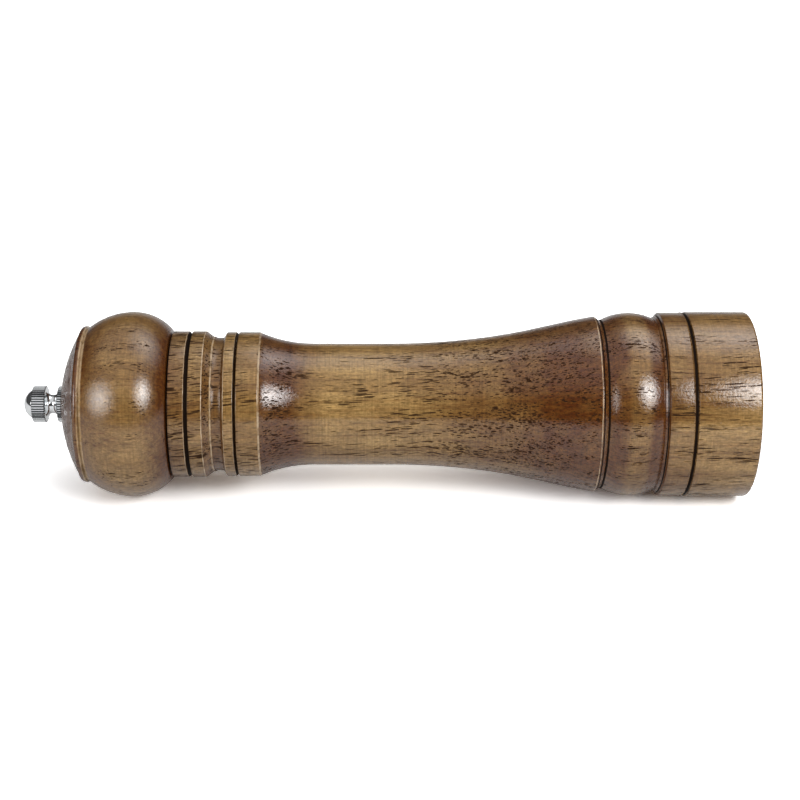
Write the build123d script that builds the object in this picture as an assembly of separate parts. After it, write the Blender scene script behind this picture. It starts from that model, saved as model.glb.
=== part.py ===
"""Turned wooden pepper mill with a ceramic burr set, standing on its foot.

Millimetres. Z is the spindle axis, pointing up; the origin is the centre of the face it stands on.
"""
from build123d import *
import math
import os

# Play between pieces
TURNING_PLAY = 0.05
LOOSE_PLAY = 0.15
TENON_PLAY = 0.25
SEAT_GAP = 0.05
HEAD_GAP = 0.2

# Spindle: square bar with a round stud at each end
SHAFT_SIDE = 5.0
SHAFT_EDGE = 0.3
STUD_RADIUS = 2.0
STUD_TIP = 0.4
SHAFT_TOP_DROP = 2.2
STUD_ABOVE_HEAD = 7.1
STUD_BELOW_NUT = 0.6

# Bores of the body
CHAMBER_RADIUS = 12.5
MOUTH_CHAMFER = 0.6
BURR_BORE_RADIUS = 16.5
BURR_BORE_DEPTH = 24.7
LEDGE_WIDTH = 5.0
OUTLET_DEPTH = 14.5
OUTLET_CHAMFER = 0.5
FOOT_WALL = 6.0
NECK_WALL = 5.6

# Outside of the body, from the foot up
FOOT_EDGE = 0.9
FOOT_BAND = 18.2
BURNT_LINE = 1.2
BURNT_DEPTH = 0.55
FOOT_RING = 6.8
FOOT_RING_STEP = 0.25
QUIRK = 1.55
QUIRK_STEP = 0.75
QUIRK_EDGE = 0.3
QUIRK_FALL = 0.45
BEAD = 15.25
BEAD_DEPTH = 1.6
BEAD_TOP_DEPTH = 2.0
LIP_GROOVE = 0.7
LIP_GROOVE_DEPTH = 0.15
LIP = 1.7
LIP_EDGE = 0.25
LIP_STEP = 1.35
FLARE = 60.0
FLARE_WAIST = 19.0
FLARE_WAIST_STEP = 4.1
FLARE_LEAN = 0.16
NECK = 23.0
SHOULDER = 15.7
COLLAR = 6.7
COLLAR_STEP = 3.4
COLLAR_EDGE = 0.2
PARTING_CHAMFER = 0.45

# Outside of the head, from the parting line up
HEAD_BAND = 3.25
HEAD_BAND_EDGE = 0.2
COVE = 2.6
COVE_WALL = 0.7
COVE_DEPTH = 1.5
COVE_HOLLOW = 0.2
COVE_FILLET = 0.7
COVE_SLOPE = 2.0
UPPER_BAND_STEP = 0.25
LOWER_UPPER_BAND = 4.0
TOP_UPPER_BAND = 4.55
NECK_CUT = 0.7
NECK_CUT_DEPTH = 0.9
NECK_CUT_EDGE = 0.2
BULGE_OVER_FOOT = 0.05
BULGE = 24.85
BULGE_CROWN = 11.25
BULGE_FOOT_STEP = 0.65
BULGE_TOP_STEP = 4.95
RIM_NOTCH = 0.2
RIM_STEP = 0.7
RIM = 0.45
RIM_ROUND = 1.15
DOME = 5.8
DOME_CROWN = 0.85
DOME_FLAT = 0.3
TENON = 13.6
TENON_CHAMFER = 0.5
HEAD_HOLE_PLAY = 0.36

# Finial nut
NUT_WALL = 0.7
NUT_FLANGE = 1.35
NUT_WAIST = 3.65
NUT_WAIST_FLARE = 1.5
NUT_DISC = 3.9
NUT_DISC_STEP = 2.75
NUT_DISC_EDGE = 0.25
NUT_DOME = 2.9
NUT_DOME_STEP = 1.1
NUT_HOLE_ROOM = 1.1
KNURL_TEETH = 44
KNURL_DEPTH = 0.3

# Drive plate and its screws
PLATE_THICKNESS = 1.6
PLATE_INSET = 1.75
PLATE_EDGE = 0.3
PLATE_SCREWS = 3
PLATE_SCREW_INSET = 3.0
PLATE_SCREW_RADIUS = 1.1
PLATE_SCREW_HEAD = 1.9
PLATE_SCREW_HEAD_HEIGHT = 1.3
PLATE_SCREW_LENGTH = 10.0

# Burr holder, its ring and its screws
HOLDER_WALL = 1.6
HOLDER_TOP_LIP = 1.5
HOLDER_HEADROOM = 0.2
FLANGE_THICKNESS = 2.2
FLANGE_PLAY = 0.2
RING_THICKNESS = 1.5
SPIDER_ARMS = 3
SPIDER_ARM_WIDTH = 3.0
SPIDER_DEPTH = 4.5
BOSS_WALL = 1.8
BOSS_DEPTH = 6.0
HOLDER_SCREWS = 3
HOLDER_SCREW_RADIUS = 1.25
HOLDER_SCREW_HEAD = 2.2
HOLDER_SCREW_HEAD_HEIGHT = 1.6
HOLDER_SCREW_LENGTH = 13.0
SCREW_HEAD_ROUND = 0.8
SCREW_TIP = 2.2
SCREW_SLOT = 0.6
SCREW_SLOT_DEPTH = 0.7
SCREW_SLOT_INSET = 0.6

# Burrs
STATOR_HEIGHT = 16.0
STATOR_WALL = 2.4
STATOR_TOP_WALL = 2.0
STATOR_KEYS = 3
KEY_WIDTH = 2.4
KEY_DEPTH = 0.8
BURR_GAP = 0.5
FINE_HEIGHT = 5.0
FINE_FALL = 2.0
FINE_TEETH = 24
FINE_DEPTH = 0.06
COARSE_TEETH = 8
COARSE_DEPTH = 0.12
COARSE_TWIST = 14.0
ROTOR_HEIGHT = 11.8
ROTOR_INSET = 0.3
ROTOR_TOP_WALL = 1.2

# Hub, washers, nut and spring of the rotor
HUB_WALL = 0.8
HUB_FLANGE_STEP = 2.4
HUB_FLANGE = 1.4
HUB_FLANGE_SINK = 0.7
ROTOR_WASHER = 0.8
ROTOR_WASHER_WIDTH = 2.4
ROTOR_NUT = 3.2
ROTOR_NUT_FLATS = 7.0
SPRING_WASHER = 0.5
SPRING_WASHER_WIDTH = 1.7
SPRING_WIRE = 0.9
SPRING_PLAY = 0.7
SPRING_TURNS = 4
SLEEVE_WALL = 1.2
SLEEVE_FLANGE = 1.15
SLEEVE_FLANGE_WIDTH = 1.3
SLEEVE_ABOVE_BOSS = 0.6

# Radii that follow from the sizes above
SHAFT_CORNER = SHAFT_SIDE / math.sqrt(2)
DRIVE_SIDE = SHAFT_SIDE + 2 * LOOSE_PLAY
DRIVE_CORNER = DRIVE_SIDE / math.sqrt(2)
OUTLET_RADIUS = BURR_BORE_RADIUS + LEDGE_WIDTH
FOOT_RADIUS = OUTLET_RADIUS + FOOT_WALL
HEAD_RADIUS = FOOT_RADIUS + BULGE_OVER_FOOT
NECK_RADIUS = CHAMBER_RADIUS + NECK_WALL
COLLAR_RADIUS = NECK_RADIUS + COLLAR_STEP
TENON_RADIUS = CHAMBER_RADIUS - TENON_PLAY
HEAD_HOLE_RADIUS = SHAFT_CORNER + HEAD_HOLE_PLAY
STUD_HOLE_RADIUS = STUD_RADIUS + TURNING_PLAY
NUT_WAIST_RADIUS = STUD_HOLE_RADIUS + NUT_WALL
NUT_RADIUS = NUT_WAIST_RADIUS + NUT_DISC_STEP
PLATE_RADIUS = TENON_RADIUS - PLATE_INSET
PLATE_SCREW_CIRCLE = PLATE_RADIUS - PLATE_SCREW_INSET
HOLDER_RADIUS = BURR_BORE_RADIUS - LOOSE_PLAY
HOLDER_BORE_RADIUS = HOLDER_RADIUS - HOLDER_WALL
HOLDER_MOUTH_RADIUS = HOLDER_BORE_RADIUS - HOLDER_TOP_LIP
HOLDER_SCREW_CIRCLE = BURR_BORE_RADIUS + LEDGE_WIDTH / 2
STATOR_RADIUS = HOLDER_BORE_RADIUS - LOOSE_PLAY
SLEEVE_RADIUS = DRIVE_CORNER + SLEEVE_WALL
BOSS_BORE_RADIUS = SLEEVE_RADIUS + TURNING_PLAY
HUB_RADIUS = DRIVE_CORNER + HUB_WALL
ROTOR_BORE_RADIUS = HUB_RADIUS + TURNING_PLAY
SPRING_RADIUS = SHAFT_CORNER + SPRING_PLAY + SPRING_WIRE / 2

# Heights that follow from the sizes above
LINE_BOTTOM = FOOT_BAND
RING_BOTTOM = LINE_BOTTOM + BURNT_LINE
QUIRK_BOTTOM = RING_BOTTOM + FOOT_RING
BEAD_BOTTOM = QUIRK_BOTTOM + QUIRK
BEAD_TOP = BEAD_BOTTOM + BEAD
LIP_BOTTOM = BEAD_TOP + LIP_GROOVE
FLARE_BOTTOM = LIP_BOTTOM + LIP
NECK_BOTTOM = FLARE_BOTTOM + FLARE
NECK_TOP = NECK_BOTTOM + NECK
COLLAR_BOTTOM = NECK_TOP + SHOULDER
BODY_TOP = COLLAR_BOTTOM + COLLAR
HEAD_BOTTOM = BODY_TOP + HEAD_GAP
COVE_BOTTOM = HEAD_BOTTOM + HEAD_BAND
BANDS_BOTTOM = COVE_BOTTOM + COVE_WALL + COVE + COVE_FILLET + COVE_SLOPE
BANDS_LINE = BANDS_BOTTOM + LOWER_UPPER_BAND
BANDS_TOP = BANDS_LINE + BURNT_LINE + TOP_UPPER_BAND
BULGE_BOTTOM = BANDS_TOP + NECK_CUT
BULGE_TOP = BULGE_BOTTOM + BULGE
RIM_BOTTOM = BULGE_TOP + RIM_NOTCH
DOME_BOTTOM = RIM_BOTTOM + RIM + RIM_ROUND
HEAD_TOP = DOME_BOTTOM + DOME
TENON_BOTTOM = HEAD_BOTTOM - TENON
PLATE_BOTTOM = TENON_BOTTOM - PLATE_THICKNESS
NUT_BOTTOM = HEAD_TOP + SEAT_GAP
FLANGE_BOTTOM = OUTLET_DEPTH - FLANGE_THICKNESS
RING_BASE = FLANGE_BOTTOM - RING_THICKNESS
BURR_BORE_TOP = OUTLET_DEPTH + BURR_BORE_DEPTH
HOLDER_TOP = BURR_BORE_TOP - HOLDER_HEADROOM
STATOR_TOP = FLANGE_BOTTOM + STATOR_HEIGHT
BOSS_BOTTOM = HOLDER_TOP - BOSS_DEPTH
ROTOR_BOTTOM = FLANGE_BOTTOM + ROTOR_INSET
ROTOR_TOP = ROTOR_BOTTOM + ROTOR_HEIGHT
HUB_BOTTOM = ROTOR_BOTTOM - HUB_FLANGE_SINK
ROTOR_NUT_TOP = HUB_BOTTOM - ROTOR_WASHER
ROTOR_NUT_BOTTOM = ROTOR_NUT_TOP - ROTOR_NUT
SLEEVE_BOTTOM = BOSS_BOTTOM - SEAT_GAP - SLEEVE_FLANGE
SPRING_BOTTOM = ROTOR_TOP + SPRING_WASHER
SHAFT_SQUARE_TOP = HEAD_TOP - SHAFT_TOP_DROP
SHAFT_TOP = HEAD_TOP + STUD_ABOVE_HEAD

# The two burrs share one cone, the rotor inside the stator by the grinding gap
STATOR_FOOT_RADIUS = STATOR_RADIUS - STATOR_WALL
THROAT_RADIUS = STATOR_FOOT_RADIUS - FINE_FALL
THROAT_HEIGHT = FLANGE_BOTTOM + FINE_HEIGHT
CONE_GAP = BURR_GAP / math.cos(math.atan2(FINE_FALL, FINE_HEIGHT))
ROTOR_FOOT_RADIUS = STATOR_FOOT_RADIUS - CONE_GAP - FINE_FALL * ROTOR_INSET / FINE_HEIGHT
ROTOR_KNEE_RADIUS = THROAT_RADIUS - CONE_GAP
ROTOR_TOP_RADIUS = ROTOR_BORE_RADIUS + ROTOR_TOP_WALL


class Outline:
    """Half section of a turned piece, drawn as radius and height from point to point."""

    def __init__(self, radius, height):
        self.first = Vector(radius, 0, height)
        self.last = self.first
        self.edges = []

    def line(self, radius, height):
        end = Vector(radius, 0, height)
        self.edges.append(Line(self.last, end))
        self.last = end
        return self

    def arc(self, through_radius, through_height, radius, height):
        end = Vector(radius, 0, height)
        self.edges.append(ThreePointArc(self.last, Vector(through_radius, 0, through_height), end))
        self.last = end
        return self

    def upright_arc(self, radius, height):
        """Arc that leaves the last point straight up."""
        end = Vector(radius, 0, height)
        self.edges.append(TangentArc(self.last, end, tangent=(0, 0, 1)))
        self.last = end
        return self

    def sweep_to(self, through_radius, through_height, radius, height, lean):
        """Flowing curve that leaves with a lean inwards and ends straight up."""
        end = Vector(radius, 0, height)
        through = Vector(through_radius, 0, through_height)
        self.edges.append(Spline(self.last, through, end, tangents=[(-lean, 0, 1), (0, 0, 1)]))
        self.last = end
        return self

    def round_about(self, centre_radius, centre_height, radius, height):
        """Arc to a point, about a centre as far from it as from the last point."""
        centre = Vector(centre_radius, 0, centre_height)
        end = Vector(radius, 0, height)
        out = (self.last - centre) + (end - centre)
        through = centre + out.normalized() * (end - centre).length
        return self.arc(through.X, through.Z, radius, height)

    def groove(self, width, depth):
        """Round-bottomed line cut into an upright face."""
        radius, height = self.last.X, self.last.Z
        return self.arc(radius - depth, height + width / 2, radius, height + width)

    def turn(self):
        self.line(self.first.X, self.first.Z)
        return revolve(Face(Wire(self.edges)), Axis.Z)


def ring(inner, outer, bottom, top):
    """Plain ring, or a disc where the inner radius is nought."""
    disc = Pos(0, 0, bottom) * extrude(Circle(outer), top - bottom)
    if inner:
        disc -= Pos(0, 0, bottom) * extrude(Circle(inner), top - bottom)
    return disc


def square_bar(side, bottom, top):
    return Pos(0, 0, bottom) * extrude(Rectangle(side, side), top - bottom)


def around(count, radius, height):
    """Places spread evenly on a circle about the spindle."""
    return [Rot(0, 0, 360 * i / count) * Pos(radius, 0, height) for i in range(count)]


def toothed_face(teeth, outer, inner, height, turn=0.0):
    """Star-shaped face with pointed teeth, level at the given height."""
    step = math.pi / teeth
    start = math.radians(turn)
    points = []
    for i in range(2 * teeth):
        radius = inner if i % 2 else outer
        angle = start + i * step
        points.append((radius * math.cos(angle), radius * math.sin(angle), height))
    return Face(Wire.make_polygon(points, close=True))


def toothed_cone(teeth, depth, low, high, twist=0.0):
    """Cone between two (radius, height) places, with valleys a share of the radius deep."""
    low_face = toothed_face(teeth, low[0], low[0] * (1 - depth), low[1])
    high_face = toothed_face(teeth, high[0], high[0] * (1 - depth), high[1], twist)
    return loft([low_face, high_face], ruled=True)


def wood_screw(radius, head_radius, head_height, length):
    """Pan-head screw pointing up, with the underside of its head at height nought."""
    outline = Outline(0, -head_height)
    outline.line(head_radius - SCREW_HEAD_ROUND, -head_height)
    outline.round_about(head_radius - SCREW_HEAD_ROUND, SCREW_HEAD_ROUND - head_height,
                        head_radius, SCREW_HEAD_ROUND - head_height)
    outline.line(head_radius, 0)
    outline.line(radius, 0)
    outline.line(radius, length - SCREW_TIP)
    outline.line(0, length)
    screw = outline.turn()
    slot_length = 2 * (head_radius - SCREW_SLOT_INSET)
    slot = extrude(Rectangle(slot_length, SCREW_SLOT) + Rectangle(SCREW_SLOT, slot_length), SCREW_SLOT_DEPTH)
    return screw - Pos(0, 0, -head_height) * slot


def body():
    """Wooden body: turned outside, pepper chamber, bore for the burrs and outlet."""
    ring_radius = FOOT_RADIUS - FOOT_RING_STEP
    bead_foot = ring_radius - BEAD_DEPTH
    bead_top = ring_radius - BEAD_TOP_DEPTH
    lip_radius = FOOT_RADIUS - LIP_STEP
    outline = Outline(OUTLET_RADIUS + OUTLET_CHAMFER, 0)
    outline.line(FOOT_RADIUS - FOOT_EDGE, 0)
    outline.round_about(FOOT_RADIUS - FOOT_EDGE, FOOT_EDGE, FOOT_RADIUS, FOOT_EDGE)
    outline.line(FOOT_RADIUS, LINE_BOTTOM)
    outline.groove(BURNT_LINE, BURNT_DEPTH)
    outline.line(ring_radius, RING_BOTTOM + FOOT_RING_STEP)
    outline.line(ring_radius, QUIRK_BOTTOM)
    outline.line(ring_radius - QUIRK_STEP, QUIRK_BOTTOM + QUIRK_EDGE)
    outline.line(ring_radius - QUIRK_STEP - QUIRK_FALL, BEAD_BOTTOM - QUIRK_EDGE)
    outline.line(bead_foot, BEAD_BOTTOM)
    outline.arc(ring_radius, BEAD_BOTTOM + BEAD / 2, bead_top, BEAD_TOP)
    outline.line(bead_top - LIP_GROOVE_DEPTH, LIP_BOTTOM)
    outline.line(lip_radius, FLARE_BOTTOM - LIP_EDGE)
    outline.line(lip_radius, FLARE_BOTTOM)
    outline.sweep_to(NECK_RADIUS + FLARE_WAIST_STEP, FLARE_BOTTOM + FLARE_WAIST,
                     NECK_RADIUS, NECK_BOTTOM, FLARE_LEAN)
    outline.line(NECK_RADIUS, NECK_TOP)
    outline.upright_arc(COLLAR_RADIUS - COLLAR_EDGE, COLLAR_BOTTOM)
    outline.line(COLLAR_RADIUS, COLLAR_BOTTOM + COLLAR_EDGE)
    outline.line(COLLAR_RADIUS, BODY_TOP - PARTING_CHAMFER)
    outline.line(COLLAR_RADIUS - PARTING_CHAMFER, BODY_TOP)
    outline.line(CHAMBER_RADIUS + MOUTH_CHAMFER, BODY_TOP)
    outline.line(CHAMBER_RADIUS, BODY_TOP - MOUTH_CHAMFER)
    outline.line(CHAMBER_RADIUS, BURR_BORE_TOP)
    outline.line(BURR_BORE_RADIUS, BURR_BORE_TOP)
    outline.line(BURR_BORE_RADIUS, OUTLET_DEPTH)
    outline.line(OUTLET_RADIUS, OUTLET_DEPTH)
    outline.line(OUTLET_RADIUS, OUTLET_CHAMFER)
    wood = outline.turn()
    reach = HOLDER_SCREW_LENGTH - RING_THICKNESS - FLANGE_THICKNESS
    pilot = ring(0, HOLDER_SCREW_RADIUS + TURNING_PLAY, 0, reach + SEAT_GAP)
    for place in around(HOLDER_SCREWS, HOLDER_SCREW_CIRCLE, OUTLET_DEPTH):
        wood -= place * pilot
    return wood


def head():
    """Wooden head with its tenon: cove, two bands, round bulge, rim and low dome."""
    band_radius = COLLAR_RADIUS + UPPER_BAND_STEP
    cove_radius = COLLAR_RADIUS - COVE_DEPTH
    cove_start = COVE_BOTTOM + COVE_WALL
    fillet_start = cove_start + COVE
    bulge_foot = band_radius + BULGE_FOOT_STEP
    bulge_reach = HEAD_RADIUS - bulge_foot
    bulge_lower = (BULGE_CROWN ** 2 + bulge_reach ** 2) / (2 * bulge_reach)
    crown = BULGE_BOTTOM + BULGE_CROWN
    rim_radius = HEAD_RADIUS - BULGE_TOP_STEP + RIM_STEP
    dome_flat = NUT_RADIUS + DOME_FLAT
    dome_edge = rim_radius - RIM_ROUND
    outline = Outline(HEAD_HOLE_RADIUS, TENON_BOTTOM)
    outline.line(TENON_RADIUS - TENON_CHAMFER, TENON_BOTTOM)
    outline.line(TENON_RADIUS, TENON_BOTTOM + TENON_CHAMFER)
    outline.line(TENON_RADIUS, HEAD_BOTTOM)
    outline.line(COLLAR_RADIUS - PARTING_CHAMFER, HEAD_BOTTOM)
    outline.line(COLLAR_RADIUS, HEAD_BOTTOM + PARTING_CHAMFER)
    outline.line(COLLAR_RADIUS, COVE_BOTTOM - HEAD_BAND_EDGE)
    outline.line(COLLAR_RADIUS - HEAD_BAND_EDGE, COVE_BOTTOM)
    outline.line(cove_radius, cove_start)
    outline.arc(cove_radius - COVE_HOLLOW, cove_start + COVE / 2, cove_radius, fillet_start)
    outline.line(cove_radius + HEAD_BAND_EDGE, fillet_start)
    outline.line(cove_radius + HEAD_BAND_EDGE, fillet_start + COVE_FILLET)
    outline.line(band_radius - HEAD_BAND_EDGE, BANDS_BOTTOM - HEAD_BAND_EDGE)
    outline.line(band_radius, BANDS_BOTTOM)
    outline.line(band_radius, BANDS_LINE)
    outline.groove(BURNT_LINE, BURNT_DEPTH)
    outline.line(band_radius, BANDS_TOP)
    outline.line(band_radius - NECK_CUT_DEPTH, BANDS_TOP + NECK_CUT_EDGE)
    outline.line(band_radius - NECK_CUT_DEPTH, BULGE_BOTTOM - NECK_CUT_EDGE)
    outline.line(bulge_foot, BULGE_BOTTOM)
    outline.round_about(HEAD_RADIUS - bulge_lower, crown, HEAD_RADIUS, crown)
    outline.upright_arc(HEAD_RADIUS - BULGE_TOP_STEP, BULGE_TOP)
    outline.line(rim_radius, RIM_BOTTOM)
    outline.line(rim_radius, RIM_BOTTOM + RIM)
    outline.upright_arc(dome_edge, DOME_BOTTOM)
    lift = DOME_CROWN / math.hypot(dome_edge - dome_flat, DOME)
    outline.arc((dome_edge + dome_flat) / 2 + DOME * lift,
                DOME_BOTTOM + DOME / 2 + (dome_edge - dome_flat) * lift, dome_flat, HEAD_TOP)
    outline.line(HEAD_HOLE_RADIUS, HEAD_TOP)
    wood = outline.turn()
    reach = PLATE_SCREW_LENGTH - PLATE_THICKNESS
    pilot = ring(0, PLATE_SCREW_RADIUS + TURNING_PLAY, 0, reach + SEAT_GAP)
    for place in around(PLATE_SCREWS, PLATE_SCREW_CIRCLE, TENON_BOTTOM):
        wood -= place * pilot
    return wood


def finial_nut():
    """Spool-shaped nut: knurled flange, hollow waist, knurled disc and a domed end, with a blind hole."""
    waist_bottom = NUT_BOTTOM + NUT_FLANGE
    disc_bottom = waist_bottom + NUT_WAIST
    disc_top = disc_bottom + NUT_DISC
    neck_radius = NUT_WAIST_RADIUS + NUT_WAIST_FLARE
    edge_radius = NUT_RADIUS - NUT_DISC_EDGE
    dome_radius = NUT_RADIUS - NUT_DOME_STEP
    hole_top = SHAFT_TOP + NUT_HOLE_ROOM
    outline = Outline(STUD_HOLE_RADIUS, NUT_BOTTOM)
    outline.line(edge_radius, NUT_BOTTOM)
    outline.line(NUT_RADIUS, NUT_BOTTOM + NUT_DISC_EDGE)
    outline.line(NUT_RADIUS, waist_bottom - NUT_DISC_EDGE)
    outline.line(edge_radius, waist_bottom)
    outline.line(neck_radius, waist_bottom)
    outline.arc(NUT_WAIST_RADIUS, waist_bottom + NUT_WAIST / 2, neck_radius, disc_bottom)
    outline.line(edge_radius, disc_bottom)
    outline.line(NUT_RADIUS, disc_bottom + NUT_DISC_EDGE)
    outline.line(NUT_RADIUS, disc_top - NUT_DISC_EDGE)
    outline.line(edge_radius, disc_top)
    outline.line(dome_radius, disc_top)
    sphere = (dome_radius ** 2 + NUT_DOME ** 2) / (2 * NUT_DOME)
    outline.round_about(0, disc_top + NUT_DOME - sphere, 0, disc_top + NUT_DOME)
    outline.line(0, hole_top)
    outline.line(STUD_HOLE_RADIUS, hole_top)
    spool = outline.turn()
    knurl = toothed_face(KNURL_TEETH, NUT_RADIUS, NUT_RADIUS - KNURL_DEPTH, NUT_BOTTOM)
    return spool & extrude(knurl, disc_top + NUT_DOME - NUT_BOTTOM)


def drive_plate():
    """Steel plate on the tenon that the square spindle turns with."""
    plate = ring(0, PLATE_RADIUS, PLATE_BOTTOM, TENON_BOTTOM)
    plate = chamfer(plate.edges().group_by(Axis.Z)[0], PLATE_EDGE)
    plate -= square_bar(DRIVE_SIDE, PLATE_BOTTOM, TENON_BOTTOM)
    hole = ring(0, PLATE_SCREW_RADIUS + LOOSE_PLAY, 0, PLATE_THICKNESS)
    for place in around(PLATE_SCREWS, PLATE_SCREW_CIRCLE, PLATE_BOTTOM):
        plate -= place * hole
    return plate


def drive_plate_screws():
    screw = wood_screw(PLATE_SCREW_RADIUS, PLATE_SCREW_HEAD, PLATE_SCREW_HEAD_HEIGHT, PLATE_SCREW_LENGTH)
    return Compound(children=[place * screw for place in around(PLATE_SCREWS, PLATE_SCREW_CIRCLE, PLATE_BOTTOM)])


def shaft():
    """Square spindle: the lower stud holds the rotor, the upper one takes the finial nut."""
    square_bottom = HUB_BOTTOM + SEAT_GAP
    bar = extrude(RectangleRounded(SHAFT_SIDE, SHAFT_SIDE, SHAFT_EDGE), SHAFT_SQUARE_TOP - square_bottom)
    lower = ROTOR_NUT_BOTTOM - STUD_BELOW_NUT
    stud = Outline(0, lower)
    stud.line(STUD_RADIUS - STUD_TIP, lower)
    stud.line(STUD_RADIUS, lower + STUD_TIP)
    stud.line(STUD_RADIUS, SHAFT_TOP - STUD_TIP)
    stud.line(STUD_RADIUS - STUD_TIP, SHAFT_TOP)
    stud.line(0, SHAFT_TOP)
    return Pos(0, 0, square_bottom) * bar + stud.turn()


def shaft_sleeve():
    """Flanged bush: turns in the holder's boss while the spindle slides through it."""
    top = HOLDER_TOP + SLEEVE_ABOVE_BOSS
    tube = ring(0, SLEEVE_RADIUS, SLEEVE_BOTTOM, top)
    tube += ring(0, SLEEVE_RADIUS + SLEEVE_FLANGE_WIDTH, SLEEVE_BOTTOM, SLEEVE_BOTTOM + SLEEVE_FLANGE)
    return tube - square_bar(DRIVE_SIDE, SLEEVE_BOTTOM, top)


def spring_path():
    """Quarter turns of the spring, each as a pair of arcs that meet in line, and points along them."""
    low = SPRING_BOTTOM + SEAT_GAP + SPRING_WIRE / 2
    high = SLEEVE_BOTTOM - SEAT_GAP - SPRING_WIRE / 2
    quarters = 4 * SPRING_TURNS
    rise = (high - low) / quarters

    def place(i):
        angle = i * math.pi / 2
        return Vector(SPRING_RADIUS * math.cos(angle), SPRING_RADIUS * math.sin(angle), low + i * rise)

    def heading(i):
        angle = i * math.pi / 2
        along = SPRING_RADIUS * math.pi / 2
        return Vector(-along * math.sin(angle), along * math.cos(angle), rise).normalized()

    arcs = []
    for i in range(quarters):
        start, end = place(i), place(i + 1)
        leave, arrive = heading(i), heading(i + 1)
        chord = end - start
        both = leave + arrive
        pull = chord.dot(both)
        slack = (4 - both.dot(both)) * chord.dot(chord)
        reach = chord.dot(chord) / (pull + math.sqrt(pull ** 2 + slack))
        first = start + leave * reach
        second = end - arrive * reach
        middle = (first + second) * 0.5
        arcs.append(TangentArc(start, middle, tangent=leave))
        arcs.append(TangentArc(middle, end, tangent=second - first))
    return arcs


def spring():
    """Coil spring round the spindle that presses the rotor down."""
    arcs = spring_path()
    samples = 8
    points = [arc @ (i / samples) for arc in arcs for i in range(samples)]
    half_turn = 2 * 2 * samples
    apart = min((a - b).length for i, a in enumerate(points) for b in points[i + half_turn:])
    print(f"spring: least gap between turns {apart - SPRING_WIRE:.2f} mm")
    section = Plane(origin=arcs[0] @ 0, z_dir=arcs[0] % 0) * Circle(SPRING_WIRE / 2)
    return sweep(section, path=Wire(arcs))


def spring_washer():
    inner = SHAFT_CORNER + LOOSE_PLAY
    return ring(inner, inner + SPRING_WASHER_WIDTH, ROTOR_TOP, SPRING_BOTTOM)


def hub_flange(play, bottom, top):
    """Six-sided flange of the hub, or with play the pocket that it sits in."""
    across = HUB_RADIUS + HUB_FLANGE_STEP + play
    return Pos(0, 0, bottom) * extrude(RegularPolygon(across, 6, major_radius=False), top - bottom)


def rotor():
    """Inner burr: fine teeth on the lower cone, coarse slanted ones above."""
    knee = (ROTOR_KNEE_RADIUS, THROAT_HEIGHT)
    burr = toothed_cone(FINE_TEETH, FINE_DEPTH, (ROTOR_FOOT_RADIUS, ROTOR_BOTTOM), knee)
    burr += toothed_cone(COARSE_TEETH, COARSE_DEPTH, knee, (ROTOR_TOP_RADIUS, ROTOR_TOP), COARSE_TWIST)
    burr -= ring(0, ROTOR_BORE_RADIUS, ROTOR_BOTTOM, ROTOR_TOP)
    pocket_top = HUB_BOTTOM + HUB_FLANGE + SEAT_GAP
    return burr - hub_flange(TURNING_PLAY, ROTOR_BOTTOM, pocket_top)


def rotor_hub():
    """Hub that carries the rotor on its flange and turns with the square spindle."""
    hub = hub_flange(0, HUB_BOTTOM, HUB_BOTTOM + HUB_FLANGE)
    hub += ring(0, HUB_RADIUS, HUB_BOTTOM, ROTOR_TOP)
    return hub - square_bar(DRIVE_SIDE, HUB_BOTTOM, ROTOR_TOP)


def rotor_washer():
    inner = STUD_RADIUS + LOOSE_PLAY
    return ring(inner, inner + ROTOR_WASHER_WIDTH, ROTOR_NUT_TOP, HUB_BOTTOM)


def rotor_nut():
    nut = Pos(0, 0, ROTOR_NUT_BOTTOM) * extrude(
        RegularPolygon(ROTOR_NUT_FLATS / 2, 6, major_radius=False), ROTOR_NUT)
    return nut - ring(0, STUD_HOLE_RADIUS, ROTOR_NUT_BOTTOM, ROTOR_NUT_TOP)


def stator_keys(play, bottom, top):
    """Three keys on the outer burr, or with play the slots that take them."""
    width = KEY_WIDTH + 2 * play
    length = STATOR_WALL / 2 + KEY_DEPTH + play
    key = Box(length, width, top - bottom, align=(Align.MIN, Align.CENTER, Align.MIN))
    return [place * key for place in around(STATOR_KEYS, STATOR_RADIUS - STATOR_WALL / 2, bottom)]


def stator():
    """Outer burr: fine teeth below the throat, a fluted funnel above it."""
    throat = (THROAT_RADIUS / (1 - FINE_DEPTH), THROAT_HEIGHT)
    foot = (STATOR_FOOT_RADIUS / (1 - FINE_DEPTH), FLANGE_BOTTOM)
    mouth_radius = STATOR_RADIUS - STATOR_TOP_WALL
    burr = ring(0, STATOR_RADIUS, FLANGE_BOTTOM, STATOR_TOP)
    for key in stator_keys(0, FLANGE_BOTTOM, STATOR_TOP):
        burr += key
    burr -= toothed_cone(FINE_TEETH, FINE_DEPTH, foot, throat)
    funnel = (THROAT_RADIUS / (1 - COARSE_DEPTH), THROAT_HEIGHT)
    return burr - toothed_cone(COARSE_TEETH, COARSE_DEPTH, funnel, (mouth_radius, STATOR_TOP))


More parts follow.
